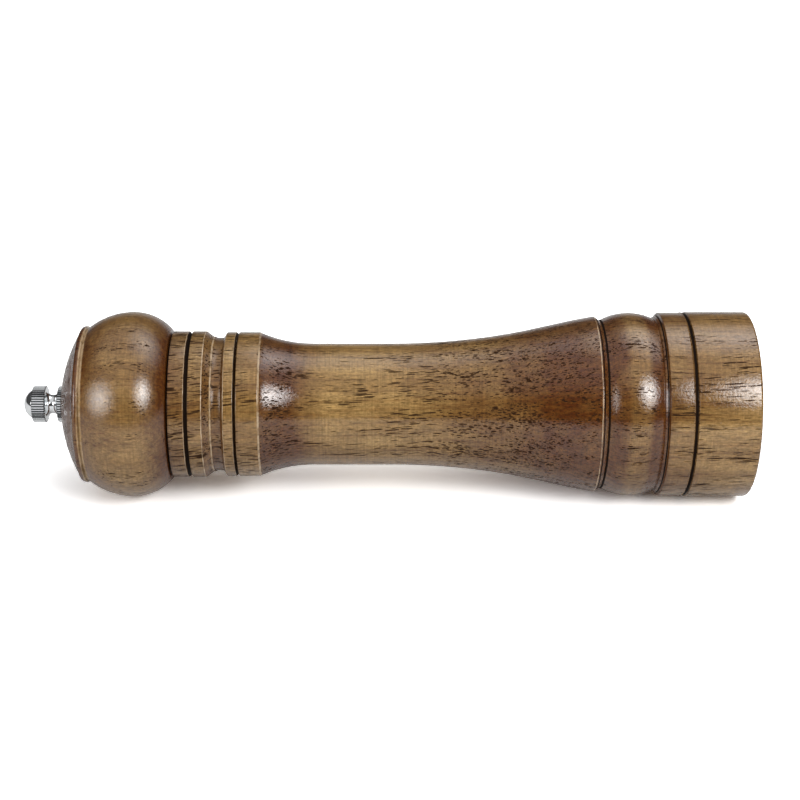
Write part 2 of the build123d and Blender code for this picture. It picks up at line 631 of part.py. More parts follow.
def burr_holder():
    """Plastic housing for the outer burr, with a screwed flange, a spider and the spindle's boss."""
    seat = STATOR_TOP + LOOSE_PLAY
    outline = Outline(HOLDER_BORE_RADIUS, FLANGE_BOTTOM)
    outline.line(OUTLET_RADIUS - FLANGE_PLAY, FLANGE_BOTTOM)
    outline.line(OUTLET_RADIUS - FLANGE_PLAY, OUTLET_DEPTH)
    outline.line(HOLDER_RADIUS, OUTLET_DEPTH)
    outline.line(HOLDER_RADIUS, HOLDER_TOP)
    outline.line(HOLDER_MOUTH_RADIUS, HOLDER_TOP)
    outline.line(HOLDER_MOUTH_RADIUS, seat)
    outline.line(HOLDER_BORE_RADIUS, seat)
    housing = outline.turn()
    housing += ring(0, BOSS_BORE_RADIUS + BOSS_WALL, BOSS_BOTTOM, HOLDER_TOP)
    arm = Box(HOLDER_MOUTH_RADIUS + HOLDER_TOP_LIP / 2, SPIDER_ARM_WIDTH, SPIDER_DEPTH,
              align=(Align.MIN, Align.CENTER, Align.MAX))
    for place in around(SPIDER_ARMS, 0, HOLDER_TOP):
        housing += place * arm
    housing -= ring(0, BOSS_BORE_RADIUS, BOSS_BOTTOM, HOLDER_TOP)
    for slot in stator_keys(LOOSE_PLAY, FLANGE_BOTTOM, seat):
        housing -= slot
    hole = ring(0, HOLDER_SCREW_RADIUS + LOOSE_PLAY, 0, FLANGE_THICKNESS)
    for place in around(HOLDER_SCREWS, HOLDER_SCREW_CIRCLE, FLANGE_BOTTOM):
        housing -= place * hole
    return housing


def stator_ring():
    """Ring under the flange that keeps the outer burr in its holder."""
    keeper = ring(STATOR_FOOT_RADIUS, OUTLET_RADIUS - FLANGE_PLAY, RING_BASE, FLANGE_BOTTOM)
    hole = ring(0, HOLDER_SCREW_RADIUS + LOOSE_PLAY, 0, RING_THICKNESS)
    for place in around(HOLDER_SCREWS, HOLDER_SCREW_CIRCLE, RING_BASE):
        keeper -= place * hole
    return keeper


def holder_screws():
    screw = wood_screw(HOLDER_SCREW_RADIUS, HOLDER_SCREW_HEAD, HOLDER_SCREW_HEAD_HEIGHT, HOLDER_SCREW_LENGTH)
    return Compound(children=[place * screw for place in around(HOLDER_SCREWS, HOLDER_SCREW_CIRCLE, RING_BASE)])


PIECES = [
    body, head, finial_nut, drive_plate, drive_plate_screws, shaft, shaft_sleeve, spring, spring_washer,
    rotor, rotor_hub, rotor_washer, rotor_nut, stator, burr_holder, stator_ring, holder_screws,
]

os.makedirs("parts", exist_ok=True)
for piece in PIECES:
    export_step(piece(), f"parts/{piece.__name__}.step")
print(f"height {NUT_BOTTOM + NUT_FLANGE + NUT_WAIST + NUT_DISC + NUT_DOME:.2f} mm, foot {2 * FOOT_RADIUS:.1f} mm")
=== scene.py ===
import math

import bmesh
import bpy
from mathutils import Matrix, Vector


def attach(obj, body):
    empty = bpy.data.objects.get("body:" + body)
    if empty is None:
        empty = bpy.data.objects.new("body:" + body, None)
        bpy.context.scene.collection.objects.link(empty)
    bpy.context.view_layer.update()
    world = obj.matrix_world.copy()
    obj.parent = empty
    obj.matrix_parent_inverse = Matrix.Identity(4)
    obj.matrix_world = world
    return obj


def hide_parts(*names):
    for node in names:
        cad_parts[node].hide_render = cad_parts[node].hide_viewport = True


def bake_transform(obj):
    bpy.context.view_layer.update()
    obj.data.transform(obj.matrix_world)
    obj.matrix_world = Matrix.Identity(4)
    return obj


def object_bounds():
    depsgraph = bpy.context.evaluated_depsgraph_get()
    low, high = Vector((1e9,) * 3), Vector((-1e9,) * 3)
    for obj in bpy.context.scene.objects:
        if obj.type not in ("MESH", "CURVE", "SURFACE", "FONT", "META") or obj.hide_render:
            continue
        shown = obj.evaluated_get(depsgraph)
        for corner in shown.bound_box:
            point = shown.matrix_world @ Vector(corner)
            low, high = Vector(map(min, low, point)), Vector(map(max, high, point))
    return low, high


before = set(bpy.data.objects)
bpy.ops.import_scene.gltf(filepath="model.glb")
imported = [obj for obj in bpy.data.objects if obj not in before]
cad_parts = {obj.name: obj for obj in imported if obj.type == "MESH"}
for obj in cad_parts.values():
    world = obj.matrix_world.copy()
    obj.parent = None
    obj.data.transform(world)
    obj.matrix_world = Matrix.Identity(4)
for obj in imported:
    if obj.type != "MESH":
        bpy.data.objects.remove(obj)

first_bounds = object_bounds()

MM = 0.001

# Photograph: the mill lies on a table with its knob to the left, so the camera is rolled by a quarter turn
IMAGE_SIZE = 800
PIXELS_PER_MM = 3.345
CENTRE_COLUMN = 368
CENTRE_HEIGHT = 0.1123
AXIS_DROP = 0.0012
CAMERA_DISTANCE = 0.53
CAMERA_RISE = math.radians(25)
SENSOR = 36.0

# The table's face, seen from the mill's side
TABLE_NORMAL = Vector((1, -1, 0)).normalized()
TABLE_ALONG = Vector((-1, -1, 0)).normalized()
VIEW_BACK = math.cos(CAMERA_RISE) * TABLE_ALONG + math.sin(CAMERA_RISE) * TABLE_NORMAL
VIEW_UP = math.cos(CAMERA_RISE) * TABLE_NORMAL - math.sin(CAMERA_RISE) * TABLE_ALONG
VIEW_RIGHT = Vector((0, 0, -1))

# Turned wood, with the points of a pilot hole at each end of an outline
TURN_STEPS = 192
EDGE_ROUND = 0.25 * MM
EDGE_STEPS = 4
EDGE_PROFILE = 0.5
CORNER_TURN = math.radians(15)
SHARP_FOLD = math.radians(32)
PILOT_POINTS = 2
SAME_PLACE = 1e-4 * MM
ON_SEAM = 2e-4 * MM

# Stained wood: its colours, its heart in millimetres from the middle of the piece, and the lean of its grain
LIGHT_WOOD = (0.322, 0.198, 0.07, 1)
MIDDLE_WOOD = (0.236, 0.133, 0.038, 1)
STREAK_WOOD = (0.17, 0.086, 0.025, 1)
DEEP_STAIN = (0.102, 0.034, 0.004, 1)
DEEPEST_STAIN = (0.066, 0.016, 0.001, 1)
PORE = (0.02, 0.008, 0.003, 1)
# Rubbed edges, partly painted highlights on edges and fillets
RUBBED_AND_GLINT = (0.45, 0.325, 0.2, 1)
# Burnt lines, partly painted shade in the quirk, under the lip and in the seam
BURNT_AND_SHADE = (0.008, 0.004, 0.002, 1)
RAW_WOOD = (0.5, 0.36, 0.2, 1)
PITH = (48, 31, 0)
GRAIN_LEAN = (0.035, -0.035, 0)

# Noises of the wood: waves in a millimetre across and along the grain, their detail and their roughness
BROAD_STREAK = (0.14, 0.014, 2.0, 0.5)
FINE_STREAK = (1.1, 0.03, 4.0, 0.62)
STAIN_PATCH = (0.055, 0.06, 3.0, 0.6)
STAIN_EDGE = (0.12, 0.2, 2.0, 0.5)
FIBRE = (4.0, 0.3, 2.0, 0.5)
TURNING_MARK = (0.05, 2.2, 3.0, 0.65)
TURNING_PATCH = (0.09, 0.05, 1.0, 0.5)
GRIT = (1.4, 1.0, 3.0, 0.6)
PORE_CROWD = (0.25, 0.04, 2.0, 0.5)
LINE_WEAR = (0.35, 0.8, 2.0, 0.5)
EDGE_WEAR_AND_GLINT = (0.3, 0.3, 3.0, 0.7)
LACQUER_WAVE = (1.5, 1.5, 2.0, 0.6)

# How far the edges of the stain and of the lines stray, in millimetres
STAIN_STRAY = 0.9
LINE_STRAY = 0.25

# Drifts of the grain: waves in a millimetre across and along it, and the sideways shift in millimetres
SLOW_DRIFT = (0.03, 0.03, 3.2)
QUICK_DRIFT = (0.35, 0.19, 0.45)

# Yearly rings about the pith: how close they lie and how they stray
RING_WAVE = {"Scale": 0.2, "Distortion": 3.0, "Detail": 2.0, "Detail Scale": 0.3}

# Wide and narrow pores: count in a millimetre, greatest radius, and count along Z as a share of the run
PORE_SIZES = [(2.4, 0.3, 1.0), (3.6, 0.13, 1.5)]
PORE_EDGE = (-0.015, 0.025)

# Lacquer, duller on the head than on the body, and the depth of the grain below it
BODY_LACQUER_ROUGH = 0.13
HEAD_LACQUER_ROUGH = 0.2
LACQUER_IOR = 1.65
LACQUER_DEPTH = 0.05 * MM
WOOD_SPECULAR = 0.05
GRAIN_DEPTH = 0.1 * MM
GRAIN_STRENGTH = 0.6

# Noises of plain surfaces, as for the wood
CLOUD = (0.22, 0.22, 3.0, 0.5)
FINE_GRIT = (6.0, 6.0, 2.0, 0.5)
DRAWN_LINE = (9.0, 0.05, 3.0, 0.6)

# Chrome, the painted shade in the roots of the knurl, and the knurl of the nut in millimetres off its axis:
# its floor, its roots and its tips
CHROME = (0.88, 0.9, 0.91, 1)
KNURL_PAINTED_SHADE = (0.03, 0.03, 0.032, 1)
KNURL_FLOOR = (5.14, 5.18)
KNURL_ROOT = (5.42, 5.27)
KNURL_TIP = (5.42, 5.5)
KNURL_DULL = 0.28
CHROME_DEPTH = 0.004 * MM

# Drawn bar, and its studs in millimetres, with the depth of their thread as a multiple of the drawn lines
DARK_BAR = (0.66, 0.67, 0.68, 1)
LIGHT_BAR = (0.76, 0.76, 0.76, 1)
DRAWN_DEPTH = 0.012 * MM
STUD_EDGE = (2.3, 2.1)
THREAD_PITCH = 0.7
THREAD_DEPTH = 10.0

# Plain finishes: dark and light colour, least and most roughness, depth of the grit, and whether it is metal
PLAIN_FINISHES = {
    "plated_steel": ((0.55, 0.56, 0.58, 1), (0.7, 0.7, 0.69, 1), 0.24, 0.4, 0.006 * MM, 1.0),
    "white_ceramic": ((0.8, 0.78, 0.72, 1), (0.86, 0.85, 0.81, 1), 0.42, 0.6, 0.02 * MM, 0.0),
    "black_nylon": ((0.022, 0.022, 0.023, 1), (0.034, 0.034, 0.035, 1), 0.36, 0.52, 0.012 * MM, 0.0),
    "white_nylon": ((0.76, 0.75, 0.7, 1), (0.82, 0.81, 0.77, 1), 0.36, 0.52, 0.012 * MM, 0.0),
}


def feed(tree, socket, value):
    """Gives a socket a value or a link."""
    if isinstance(value, bpy.types.NodeSocket):
        tree.links.new(value, socket)
    else:
        socket.default_value = value


def node(tree, kind, inputs=None, **settings):
    """Adds a shader node, with a value or a link for each named or numbered input."""
    made = tree.nodes.new("ShaderNode" + kind)
    for key, value in settings.items():
        setattr(made, key, value)
    for key, value in (inputs or {}).items():
        feed(tree, made.inputs[key], value)
    return made


def calc(tree, operation, *values):
    return node(tree, "Math", dict(enumerate(values)), operation=operation).outputs[0]


def vector(tree, operation, *values):
    return node(tree, "VectorMath", dict(enumerate(values)), operation=operation).outputs["Vector"]


def measure(tree, operation, *values):
    """Length of a vector, or the product of two."""
    return node(tree, "VectorMath", dict(enumerate(values)), operation=operation).outputs["Value"]


def height_of(tree, place):
    return node(tree, "SeparateXYZ", {0: place}).outputs["Z"]


def off_axis(tree, place):
    """The part of a place that lies across Z."""
    return vector(tree, "MULTIPLY", place, (1, 1, 0))


def fade(tree, value, start, end, low=0.0, high=1.0):
    """Smooth step of a value from low to high."""
    limits = {"Value": value, "From Min": start, "From Max": end, "To Min": low, "To Max": high}
    return node(tree, "MapRange", limits, interpolation_type="SMOOTHSTEP").outputs[0]


def blend(tree, share, first, second, way="MIX"):
    return node(tree, "Mix", {0: share, 6: first, 7: second}, data_type="RGBA", blend_type=way).outputs[2]


def noise(tree, place, across, along, detail, rough):
    """Noise of the place, with a scale of its own along Z."""
    spread = vector(tree, "MULTIPLY", place, (across, across, along))
    settings = {"Vector": spread, "Scale": 1.0, "Detail": detail, "Roughness": rough}
    return node(tree, "TexNoise", settings).outputs["Fac"]


def drift(tree, place, across, along, amount):
    """Place shifted sideways by a slow noise of its own."""
    spread = vector(tree, "MULTIPLY", place, (across, across, along))
    cloud = node(tree, "TexNoise", {"Vector": spread, "Scale": 1.0, "Detail": 1.0}).outputs["Color"]
    return vector(tree, "MULTIPLY_ADD", cloud, (amount, amount, 0), place)


def new_group(name, inputs, outputs):
    """Empty node group, with its inputs and outputs as (name, kind)."""
    tree = bpy.data.node_groups.new(name, "ShaderNodeTree")
    for label, kind in inputs:
        tree.interface.new_socket(label, in_out="INPUT", socket_type="NodeSocket" + kind)
    for label, kind in outputs:
        tree.interface.new_socket(label, in_out="OUTPUT", socket_type="NodeSocket" + kind)
    return tree, tree.nodes.new("NodeGroupInput").outputs, tree.nodes.new("NodeGroupOutput").inputs


def use_group(tree, group, **inputs):
    """Places a node group, with a value or a link for each input."""
    made = tree.nodes.new("ShaderNodeGroup")
    made.node_tree = group
    for key, value in inputs.items():
        feed(tree, made.inputs[key.capitalize()], value)
    return made.outputs


def vessels(tree, place, run, per_mm, widest):
    """Short lengths of tube along Z, cut open by the surface, with their count along Z as the run."""
    spread = vector(tree, "MULTIPLY", place, (per_mm, per_mm, 0))
    spread = vector(tree, "ADD", spread, node(tree, "CombineXYZ", {"Z": run}).outputs[0])
    cell = node(tree, "TexVoronoi", {"Vector": spread, "Scale": 1.0}).outputs
    size = node(tree, "SeparateColor", {0: cell["Color"]}).outputs[0]
    radius = calc(tree, "MULTIPLY", calc(tree, "MULTIPLY_ADD", size, 1.25, -0.25), widest)
    away = calc(tree, "DIVIDE", cell["Distance"], per_mm)
    return fade(tree, calc(tree, "SUBTRACT", radius, away), *PORE_EDGE)


def grey(tree, level):
    return node(tree, "CombineColor", {0: level, 1: level, 2: level}).outputs[0]


def open_grain():
    """Open-pored wood along Z, from a place in millimetres, its stain and its pores' openness and run."""
    takes = [("Place", "Vector"), ("Stain", "Float"), ("Open", "Float"), ("Run", "Float")]
    gives = [("Colour", "Color"), ("Pores", "Float"), ("Marks", "Float"), ("Relief", "Float")]
    tree, given, result = new_group("open_grain", takes, gives)
    straight = given["Place"]
    place = drift(tree, straight, *SLOW_DRIFT)
    up = height_of(tree, straight)
    lean = node(tree, "VectorMath", {0: GRAIN_LEAN, "Scale": up}, operation="SCALE").outputs[0]
    wavy = drift(tree, vector(tree, "ADD", place, lean), *QUICK_DRIFT)

    broad = noise(tree, place, *BROAD_STREAK)
    streak = noise(tree, place, *FINE_STREAK)
    light = blend(tree, fade(tree, broad, 0.34, 0.66), LIGHT_WOOD, MIDDLE_WOOD)
    light = blend(tree, fade(tree, streak, 0.45, 0.75), light, STREAK_WOOD)
    deep = blend(tree, fade(tree, streak, 0.35, 0.65), DEEP_STAIN, DEEPEST_STAIN)
    patch = noise(tree, straight, *STAIN_PATCH)
    stain = calc(tree, "ADD", given["Stain"], fade(tree, patch, 0.3, 0.7, -0.15, 0.25))
    colour = blend(tree, node(tree, "Clamp", {0: stain}).outputs[0], light, deep)

    from_pith = vector(tree, "ADD", place, PITH)
    rings = node(tree, "TexWave", {"Vector": from_pith, **RING_WAVE}, wave_type="RINGS", rings_direction="Z")
    fibre = noise(tree, place, *FIBRE)
    turning = noise(tree, straight, *TURNING_MARK)
    where = fade(tree, noise(tree, straight, *TURNING_PATCH), 0.4, 0.6, 0.2, 0.55)
    marks = node(tree, "Mix", {0: where, 2: fibre, 3: turning}).outputs[0]
    grit = noise(tree, straight, *GRIT)
    shade = fade(tree, marks, 0.25, 0.75, 0.68, 1.32)
    shade = calc(tree, "MULTIPLY", shade, fade(tree, rings.outputs["Fac"], 0.0, 0.6, 0.93, 1.03))
    shade = calc(tree, "MULTIPLY", shade, fade(tree, grit, 0.25, 0.75, 0.76, 1.24))
    colour = blend(tree, 1.0, colour, grey(tree, shade), "MULTIPLY")

    crowd = calc(tree, "MULTIPLY", noise(tree, place, *PORE_CROWD), 0.7)
    crowd = calc(tree, "MULTIPLY_ADD", calc(tree, "SUBTRACT", given["Open"], 0.7), 0.5, crowd)
    pores = 0.0
    for per_mm, most, share in PORE_SIZES:
        run = calc(tree, "MULTIPLY", given["Run"], share)
        widest = fade(tree, crowd, 0.2, 0.55, 0.0, most)
        pores = calc(tree, "MAXIMUM", pores, vessels(tree, wavy, run, per_mm, widest))
    colour = blend(tree, calc(tree, "MULTIPLY", pores, 0.95), colour, PORE)
    relief = calc(tree, "MULTIPLY_ADD", grit, 0.4, calc(tree, "MULTIPLY", marks, 0.2))
    relief = calc(tree, "SUBTRACT", relief, calc(tree, "MULTIPLY", pores, 0.7))
    for label, value in (("Colour", colour), ("Pores", pores), ("Marks", marks), ("Relief", relief)):
        tree.links.new(value, result[label])
    return tree


def line_round():
    """Soft line round a turned piece at a height, in millimetres."""
    takes = [("Place", "Vector"), ("Height", "Float"), ("Half", "Float")]
    tree, given, result = new_group("line_round", takes, [("Mask", "Float")])
    up = height_of(tree, given["Place"])
    wear = noise(tree, given["Place"], *LINE_WEAR)
    up = calc(tree, "ADD", up, calc(tree, "MULTIPLY", calc(tree, "SUBTRACT", wear, 0.5), LINE_STRAY))
    away = calc(tree, "ABSOLUTE", calc(tree, "SUBTRACT", up, given["Height"]))
    away = calc(tree, "DIVIDE", away, given["Half"])
    tree.links.new(fade(tree, away, 1.35, 0.7), result["Mask"])
    return tree


def mottle():
    """Cloudy and fine unevenness for plain surfaces, from a place in millimetres."""
    gives = [("Cloud", "Float"), ("Grit", "Float")]
    tree, given, result = new_group("mottle", [("Place", "Vector")], gives)
    tree.links.new(noise(tree, given["Place"], *CLOUD), result["Cloud"])
    tree.links.new(noise(tree, given["Place"], *FINE_GRIT), result["Grit"])
    return tree


OPEN_GRAIN = open_grain()
LINE_ROUND = line_round()
MOTTLE = mottle()


def new_material(name):
    """Empty material, with the place on the piece in millimetres and the shader's inputs."""
    material = bpy.data.materials.new(name)
    material.use_nodes = True
    tree = material.node_tree
    place = vector(tree, "MULTIPLY", node(tree, "TexCoord").outputs["Object"], (1 / MM, 1 / MM, 1 / MM))
    return material, tree, place, tree.nodes["Principled BSDF"].inputs


def bump(tree, shader, height, depth, strength=1.0, layer="Normal"):
    made = node(tree, "Bump", {"Height": height, "Distance": depth, "Strength": strength})
    tree.links.new(made.outputs[0], shader[layer])


def level_along(tree, height, stops):
    """Level at a height, from (height, level) stops."""
    low, high = stops[0][0], stops[-1][0]
    peak = max(level for _, level in stops)
    share = node(tree, "MapRange", {"Value": height, "From Min": low, "From Max": high}).outputs[0]
    ramp = node(tree, "ValToRGB", {0: share})
    steps = ramp.color_ramp.elements
    steps.remove(steps[1])
    for at, level in stops:
        step = steps[0] if at == low else steps.new((at - low) / (high - low))
        step.color = (level / peak, level / peak, level / peak, 1)
    return calc(tree, "MULTIPLY", ramp.outputs[0], peak)


def stained_wood(name, shift, lacquer_rough, stains, openings, runs, burnt_and_shade, worn):
    """Lacquered wood, raw inside, with scorched lines that are partly painted shade, and worn edges that are
    partly painted highlights, at (height, half width) places.
    """
    material, tree, place, shader = new_material(name)
    grain_place = vector(tree, "ADD", place, shift)
    facing = node(tree, "TexCoord").outputs["Normal"]
    outward = vector(tree, "NORMALIZE", off_axis(tree, place))
    raw = fade(tree, measure(tree, "DOT_PRODUCT", facing, outward), -0.2, -0.6)
    end = calc(tree, "ABSOLUTE", height_of(tree, facing))
    uneven = calc(tree, "SUBTRACT", noise(tree, place, *STAIN_EDGE), 0.5)
    up = height_of(tree, place)
    height = calc(tree, "MULTIPLY_ADD", uneven, STAIN_STRAY, up)
    stain = calc(tree, "MAXIMUM", level_along(tree, height, stains), fade(tree, end, 0.9, 0.99))
    colour, pores, marks, relief = use_group(tree, OPEN_GRAIN, place=grain_place, stain=stain,
                                              open=level_along(tree, height, openings),
                                              run=level_along(tree, up, runs))

    def lines(heights):
        total = 0.0
        for at, half in heights:
            mask = use_group(tree, LINE_ROUND, place=place, height=at, half=half)[0]
            total = calc(tree, "MAXIMUM", total, mask)
        return total

    # Rubbed edges, partly painted highlights on the edges and fillets
    chance = noise(tree, place, *EDGE_WEAR_AND_GLINT)
    rubbed_and_glint = calc(tree, "MULTIPLY", lines(worn), fade(tree, chance, 0.36, 0.6, 0.25, 0.95))
    # Burnt lines, some of them painted shade in the quirk, under the lip and in the seam
    singed_and_shaded = calc(tree, "MULTIPLY", lines(burnt_and_shade), fade(tree, end, 0.97, 0.85))
    colour = blend(tree, fade(tree, end, 0.78, 0.9, 0.0, 0.35), colour, DEEPEST_STAIN)
    colour = blend(tree, rubbed_and_glint, colour, RUBBED_AND_GLINT)
    colour = blend(tree, singed_and_shaded, colour, BURNT_AND_SHADE)
    colour = blend(tree, calc(tree, "MULTIPLY", raw, 0.55), colour, RAW_WOOD)
    tree.links.new(colour, shader["Base Color"])
    dull = calc(tree, "MAXIMUM", calc(tree, "MAXIMUM", pores, raw), singed_and_shaded)
    rough = calc(tree, "MULTIPLY_ADD", dull, 0.3, fade(tree, marks, 0.3, 0.7, 0.34, 0.44))
    tree.links.new(rough, shader["Roughness"])
    coated = calc(tree, "SUBTRACT", 1.0, calc(tree, "MAXIMUM", raw, singed_and_shaded))
    gloss = calc(tree, "MULTIPLY", fade(tree, relief, -0.1, 0.36), coated)
    grazing = fade(tree, node(tree, "LayerWeight").outputs["Facing"], 0.5, 0.85, 0.12, 1.0)
    grazing = node(tree, "Mix", {0: fade(tree, end, 0.75, 0.88), 2: 1.0, 3: grazing}).outputs[0]
    gloss = calc(tree, "MULTIPLY", gloss, grazing)
    tree.links.new(gloss, shader["Coat Weight"])
    shader["Coat Roughness"].default_value = lacquer_rough
    shader["Coat IOR"].default_value = LACQUER_IOR
    shader["Specular IOR Level"].default_value = WOOD_SPECULAR
    bump(tree, shader, relief, GRAIN_DEPTH, GRAIN_STRENGTH)
    bump(tree, shader, noise(tree, place, *LACQUER_WAVE), LACQUER_DEPTH, layer="Coat Normal")
    return material


def bright_chrome():
    """Polished plating, dull in the roots of the knurl, with painted shade there."""
    material, tree, place, shader = new_material("bright_chrome")
    cloud, grit = use_group(tree, MOTTLE, place=place)
    reach = measure(tree, "LENGTH", off_axis(tree, place))
    root = calc(tree, "MULTIPLY", fade(tree, reach, *KNURL_ROOT), fade(tree, reach, *KNURL_FLOOR))
    tip = fade(tree, reach, *KNURL_TIP)
    # Painted shade in the roots of the knurl
    tree.links.new(blend(tree, root, CHROME, KNURL_PAINTED_SHADE), shader["Base Color"])
    shader["Metallic"].default_value = 1.0
    rough = fade(tree, cloud, 0.3, 0.7, 0.06, 0.14)
    worn = calc(tree, "MULTIPLY", calc(tree, "ADD", root, tip), KNURL_DULL)
    tree.links.new(calc(tree, "ADD", rough, worn), shader["Roughness"])
    bump(tree, shader, grit, CHROME_DEPTH)
    return material


def bare_aluminium():
    """Drawn bar with fine lines along Z, and a thread on its studs."""
    material, tree, place, shader = new_material("bare_aluminium")
    drawn = noise(tree, place, *DRAWN_LINE)
    stud = fade(tree, measure(tree, "LENGTH", off_axis(tree, place)), *STUD_EDGE)
    thread = calc(tree, "SINE", calc(tree, "MULTIPLY", height_of(tree, place), 2 * math.pi / THREAD_PITCH))
    thread = calc(tree, "MULTIPLY", calc(tree, "MULTIPLY", thread, stud), THREAD_DEPTH)
    cloud, _ = use_group(tree, MOTTLE, place=place)
    tree.links.new(blend(tree, cloud, DARK_BAR, LIGHT_BAR), shader["Base Color"])
    shader["Metallic"].default_value = 1.0
    tree.links.new(fade(tree, drawn, 0.3, 0.7, 0.22, 0.42), shader["Roughness"])
    bump(tree, shader, calc(tree, "ADD", drawn, thread), DRAWN_DEPTH)
    return material


def plain_finish(name):
    """Even surface with a cloudy colour and a fine grit."""
    dark, light, smooth, rough, depth, metal = PLAIN_FINISHES[name]
    material, tree, place, shader = new_material(name)
    cloud, grit = use_group(tree, MOTTLE, place=place)
    tree.links.new(blend(tree, cloud, dark, light), shader["Base Color"])
    shader["Metallic"].default_value = metal
    tree.links.new(fade(tree, grit, 0.3, 0.7, smooth, rough), shader["Roughness"])
    bump(tree, shader, grit, depth)
    return material


def half_outline(name):
    """Outline of a turned CAD piece as (radius, height), along its seam at +X, without the pilot hole."""
    mesh = bmesh.new()
    mesh.from_mesh(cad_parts[name].data)
    bmesh.ops.remove_doubles(mesh, verts=mesh.verts[:], dist=SAME_PLACE)
    beside = {}
    for edge in mesh.edges:
        if all(abs(v.co.y) < ON_SEAM and v.co.x > 0 for v in edge.verts):
            for v in edge.verts:
                beside.setdefault(v, []).append(edge.other_vert(v))
    here = next(v for v in beside if len(beside[v]) == 1)
    last = None
    points = []
    while here:
        points.append(Vector((here.co.x, here.co.z)))
        here, last = next((v for v in beside[here] if v is not last), None), here
    mesh.free()
    return points[PILOT_POINTS:-PILOT_POINTS]


def outer_corners(points):
    """Numbers of the points where a closed outline turns sharply outwards."""
    ring = list(zip(points[-1:] + points[:-1], points, points[1:] + points[:1]))
    area = sum(a.x * b.y - b.x * a.y for _, a, b in ring)
    outwards = -1 if area > 0 else 1
    turns = [(here - before).angle_signed(after - here) * outwards for before, here, after in ring]
    return [i for i, turn in enumerate(turns) if turn > CORNER_TURN]


def add_piece(name, mesh, material):
    data = bpy.data.meshes.new(name)
    mesh.to_mesh(data)
    mesh.free()
    data.materials.append(material)
    piece = bpy.data.objects.new(name, data)
    bpy.context.scene.collection.objects.link(piece)
    return piece


def turned_piece(name, cad, body, material):
    """The CAD piece turned again about Z, with softened edges."""
    mesh = bmesh.new()
    points = half_outline(cad)
    verts = [mesh.verts.new((p.x, 0, p.y)) for p in points]
    for pair in zip(verts, verts[1:] + verts[:1]):
        mesh.edges.new(pair)
    corners = [verts[i] for i in outer_corners(points)]
    bmesh.ops.bevel(mesh, geom=corners, offset=EDGE_ROUND, offset_type="OFFSET", segments=EDGE_STEPS,
                    profile=EDGE_PROFILE, affect="VERTICES", clamp_overlap=True, material=-1)
    bmesh.ops.spin(mesh, geom=mesh.verts[:] + mesh.edges[:], cent=(0, 0, 0), axis=(0, 0, 1),
                   angle=2 * math.pi, steps=TURN_STEPS, use_merge=True)
    bmesh.ops.remove_doubles(mesh, verts=mesh.verts[:], dist=SAME_PLACE)
    bmesh.ops.recalc_face_normals(mesh, faces=mesh.faces[:])
    for face in mesh.faces:
        face.smooth = True
    for edge in mesh.edges:
        edge.smooth = edge.calc_face_angle(0) < SHARP_FOLD
    piece = add_piece(name, mesh, material)
    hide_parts(cad)
    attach(piece, body)


def springy_coil(name, cad, material):
    """The CAD spring as a smooth-shaded piece of its own, in place of the CAD node."""
    mesh = bmesh.new()
    mesh.from_mesh(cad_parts[cad].data)
    for face in mesh.faces:
        face.smooth = True
    piece = add_piece(name, mesh, material)
    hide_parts(cad)
    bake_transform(piece)


def finish_cad(material, *names):
    """Gives CAD pieces their finish."""
    for name in names:
        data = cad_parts[name].data
        data.materials.clear()
        data.materials.append(material)


# Along each turned piece, at heights in millimetres: how deep the stain is and how open the pores are,
# how many pores follow each other along it, its burnt lines, partly painted shade, and its rubbed edges,
# partly painted highlights, with half their width
BODY_STAIN = [(0, 0.35), (1.5, 0.25), (16, 0.28), (17.6, 0.4), (20, 0.5), (22, 0.42), (25.8, 0.45),
              (26.4, 0.85), (27.8, 1.0), (30.4, 0.95), (32.2, 0.44), (36.4, 0.38), (38.4, 0.85), (41, 1.0),
              (43, 1.0), (46, 0.95), (60, 0.9), (72, 0.7), (84, 0.38), (96, 0.15), (106, 0.08),
              (124, 0.08), (130, 0.45), (135, 1.0), (143.6, 1.0), (144.2, 0.35), (149, 0.3), (150.8, 0.5)]
BODY_OPEN = [(0, 0.76), (17, 0.78), (28, 0.8), (33, 0.8), (41, 0.76), (44, 0.74), (47, 0.85), (60, 0.93),
             (84, 0.94), (96, 0.88), (108, 0.76), (128, 0.73), (136, 0.92), (143, 0.9), (144, 0.8),
             (150.8, 0.9)]
BODY_RUN = [(0, 0), (26, 4.2), (45, 11.8), (72, 33.4), (92, 45.4), (110, 49.4), (150.8, 55.5)]
# At 26.75 the burnt line is partly painted shade on the quirk's slope, at 44.8 partly painted shadow under
# the lip, and at 150.95 painted shadow in the seam
BODY_BURNT_AND_SHADE = [(18.8, 0.44), (26.75, 0.18), (43.4, 0.3), (44.8, 0.2), (150.95, 0.45)]
# Rubbed edges, partly painted highlights on the lip's edge and the collar's edge
BODY_WORN_AND_GLINT = [(45.4, 0.11), (144.0, 0.24)]
HEAD_STAIN = [(151, 0.35), (152, 0.22), (154, 0.25), (154.5, 0.7), (157.4, 0.65), (158, 0.25),
              (158.6, 0.6), (160.2, 0.65), (160.5, 0.28), (164, 0.35), (166, 0.45), (169.5, 0.5),
              (170.8, 1.0), (173.5, 0.8), (177, 0.5), (182, 0.36), (187, 0.42), (190.5, 0.6), (193, 0.65),
              (194.5, 0.75), (194.9, 0.0), (195.7, 0.0), (196, 0.95), (203.2, 1.0)]
HEAD_OPEN = [(151, 0.85), (160, 0.95), (170, 0.95), (172, 0.5), (177, 0.72), (186, 0.75), (191, 0.55),
             (195, 0.6), (197, 0.9), (203.2, 0.9)]
HEAD_RUN = [(151, 0), (170, 3.6), (176, 7.2), (188, 10.8), (195, 15), (203.2, 20.7)]
# At 150.95 the burnt line is painted shadow in the seam between head and body
HEAD_BURNT_AND_SHADE = [(164.85, 0.6), (170.35, 0.34), (150.95, 0.4)]
